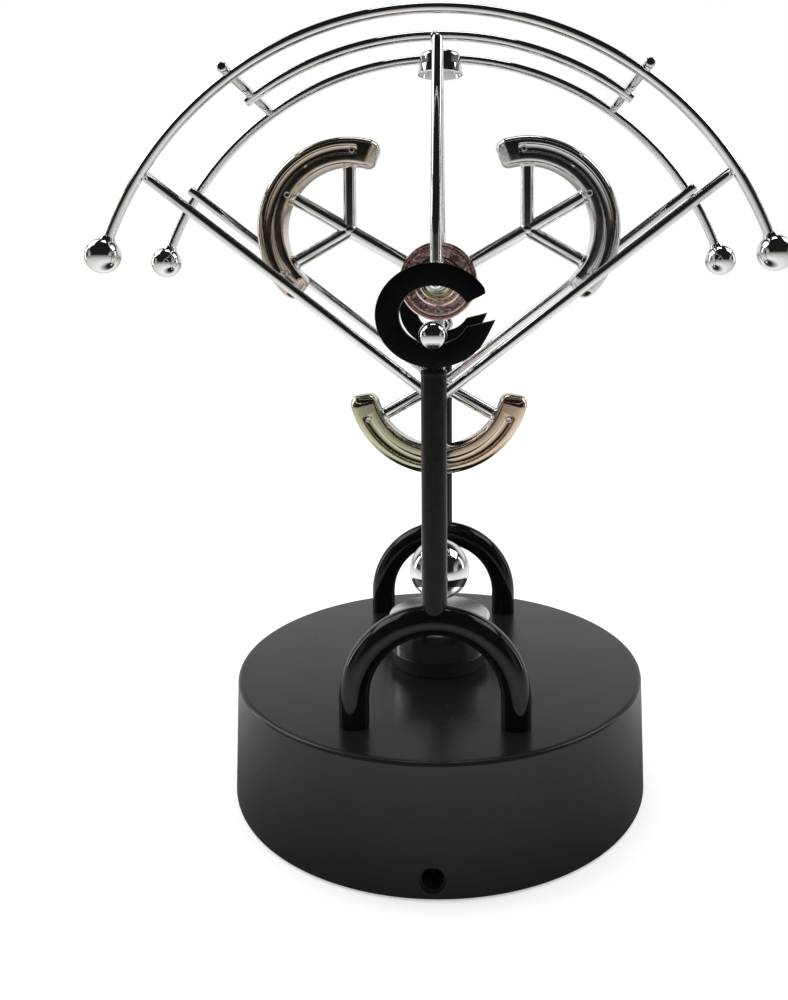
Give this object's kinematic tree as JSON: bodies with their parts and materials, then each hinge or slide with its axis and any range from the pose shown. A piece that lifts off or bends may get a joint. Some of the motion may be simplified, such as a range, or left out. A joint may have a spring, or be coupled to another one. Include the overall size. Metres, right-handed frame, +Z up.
{
  "type": "perpetual motion desk toy",
  "caption": "Kinetic desk toy: a rod frame with arcs and end balls rocks on hooks over a round base while a crescent-armed rotor spins freely inside it.",
  "frame": {"origin": "bottom centre of the round base, on the plane its feet stand on", "axes": "+Z up; +X to the viewer's right, along the swing; -Y is the front, with the power inlet; the swing and rotor axes are parallel to Y"},
  "size_m": [0.1712, 0.11, 0.2],
  "materials": {
    "base_black": "satin black moulded plastic",
    "cover_black": "matte black moulded plastic",
    "steel_screw": "plain bright steel",
    "foot_rubber": "matte rubber",
    "board_green": "lacquered board",
    "component_black": "moulded component",
    "copper_wire": "enamelled copper wire",
    "core_steel": "plain steel",
    "rod_chrome": "mirror polished",
    "chrome_steel": "mirror chrome",
    "puck_chrome": "chrome-plated plastic",
    "arch_gloss": "gloss black",
    "hook_matte": "matte black",
    "plated_dark": "dark vacuum-plated plastic, mirror bright",
    "plated_gold": "plated plastic, mirror bright",
    "plated_rose": "plated plastic, mirror bright",
    "bush_brass": "polished"
  },
  "bodies": {
    "base": {"base_shell": "base_black", "bottom_cover": "cover_black", "cover_screws": "steel_screw", "rubber_feet": "foot_rubber", "dc_jack": "cover_black", "jack_pin": "steel_screw", "circuit_board": "board_green", "transistor": "component_black", "capacitor": "component_black", "coil_bobbin": "cover_black", "coil_winding": "copper_wire", "coil_core": "core_steel", "coil_leads": "copper_wire", "puck_collar": "cover_black", "drive_puck": "puck_chrome", "arch_washers": "steel_screw", "arch_nuts": "steel_screw", "arch_front": "arch_gloss", "arch_back": "arch_gloss", "post_front": "arch_gloss", "post_back": "arch_gloss", "hook_front": "hook_matte", "hook_back": "hook_matte"},
    "swing_frame": {"arc_front": "rod_chrome", "arc_back": "rod_chrome", "arc_middle": "rod_chrome", "end_balls": "rod_chrome", "crossbar_left": "rod_chrome", "crossbar_right": "rod_chrome", "pendulum_yoke": "chrome_steel", "stub_axle_front": "chrome_steel", "stub_axle_back": "chrome_steel", "v_bar_front_left": "rod_chrome", "v_bar_front_right": "rod_chrome", "v_bar_back_left": "rod_chrome", "v_bar_back_right": "rod_chrome", "pivot_balls": "chrome_steel", "bob": "chrome_steel", "bob_magnet": "core_steel", "rotor_axle": "chrome_steel", "axle_nuts": "steel_screw", "hanger_leg_front": "rod_chrome", "hanger_leg_back": "rod_chrome", "balance_cup": "rod_chrome"},
    "rotor": {"rotor_arm_left": "rod_chrome", "rotor_arm_right": "rod_chrome", "rotor_arm_lower": "rod_chrome", "crescent_left": "plated_dark", "crescent_right": "plated_dark", "crescent_lower": "plated_gold", "prong_pins": "chrome_steel", "rotor_hub": "plated_rose", "hub_plate_front": "plated_rose", "hub_plate_back": "plated_rose", "hub_screws": "steel_screw", "bush_front": "bush_brass", "bush_back": "bush_brass"}
  },
  "joints": [
    {"name": "frame_swing", "type": "hinge", "parent": "base", "child": "swing_frame", "pos_m": [0, 0, 0.1214], "axis": [0, 1, 0], "range_deg": [-25, 25]},
    {"name": "rotor_spin", "type": "hinge", "parent": "swing_frame", "child": "rotor", "pos_m": [0, 0, 0.1339], "axis": [0, 1, 0], "continuous": true}
  ]
}
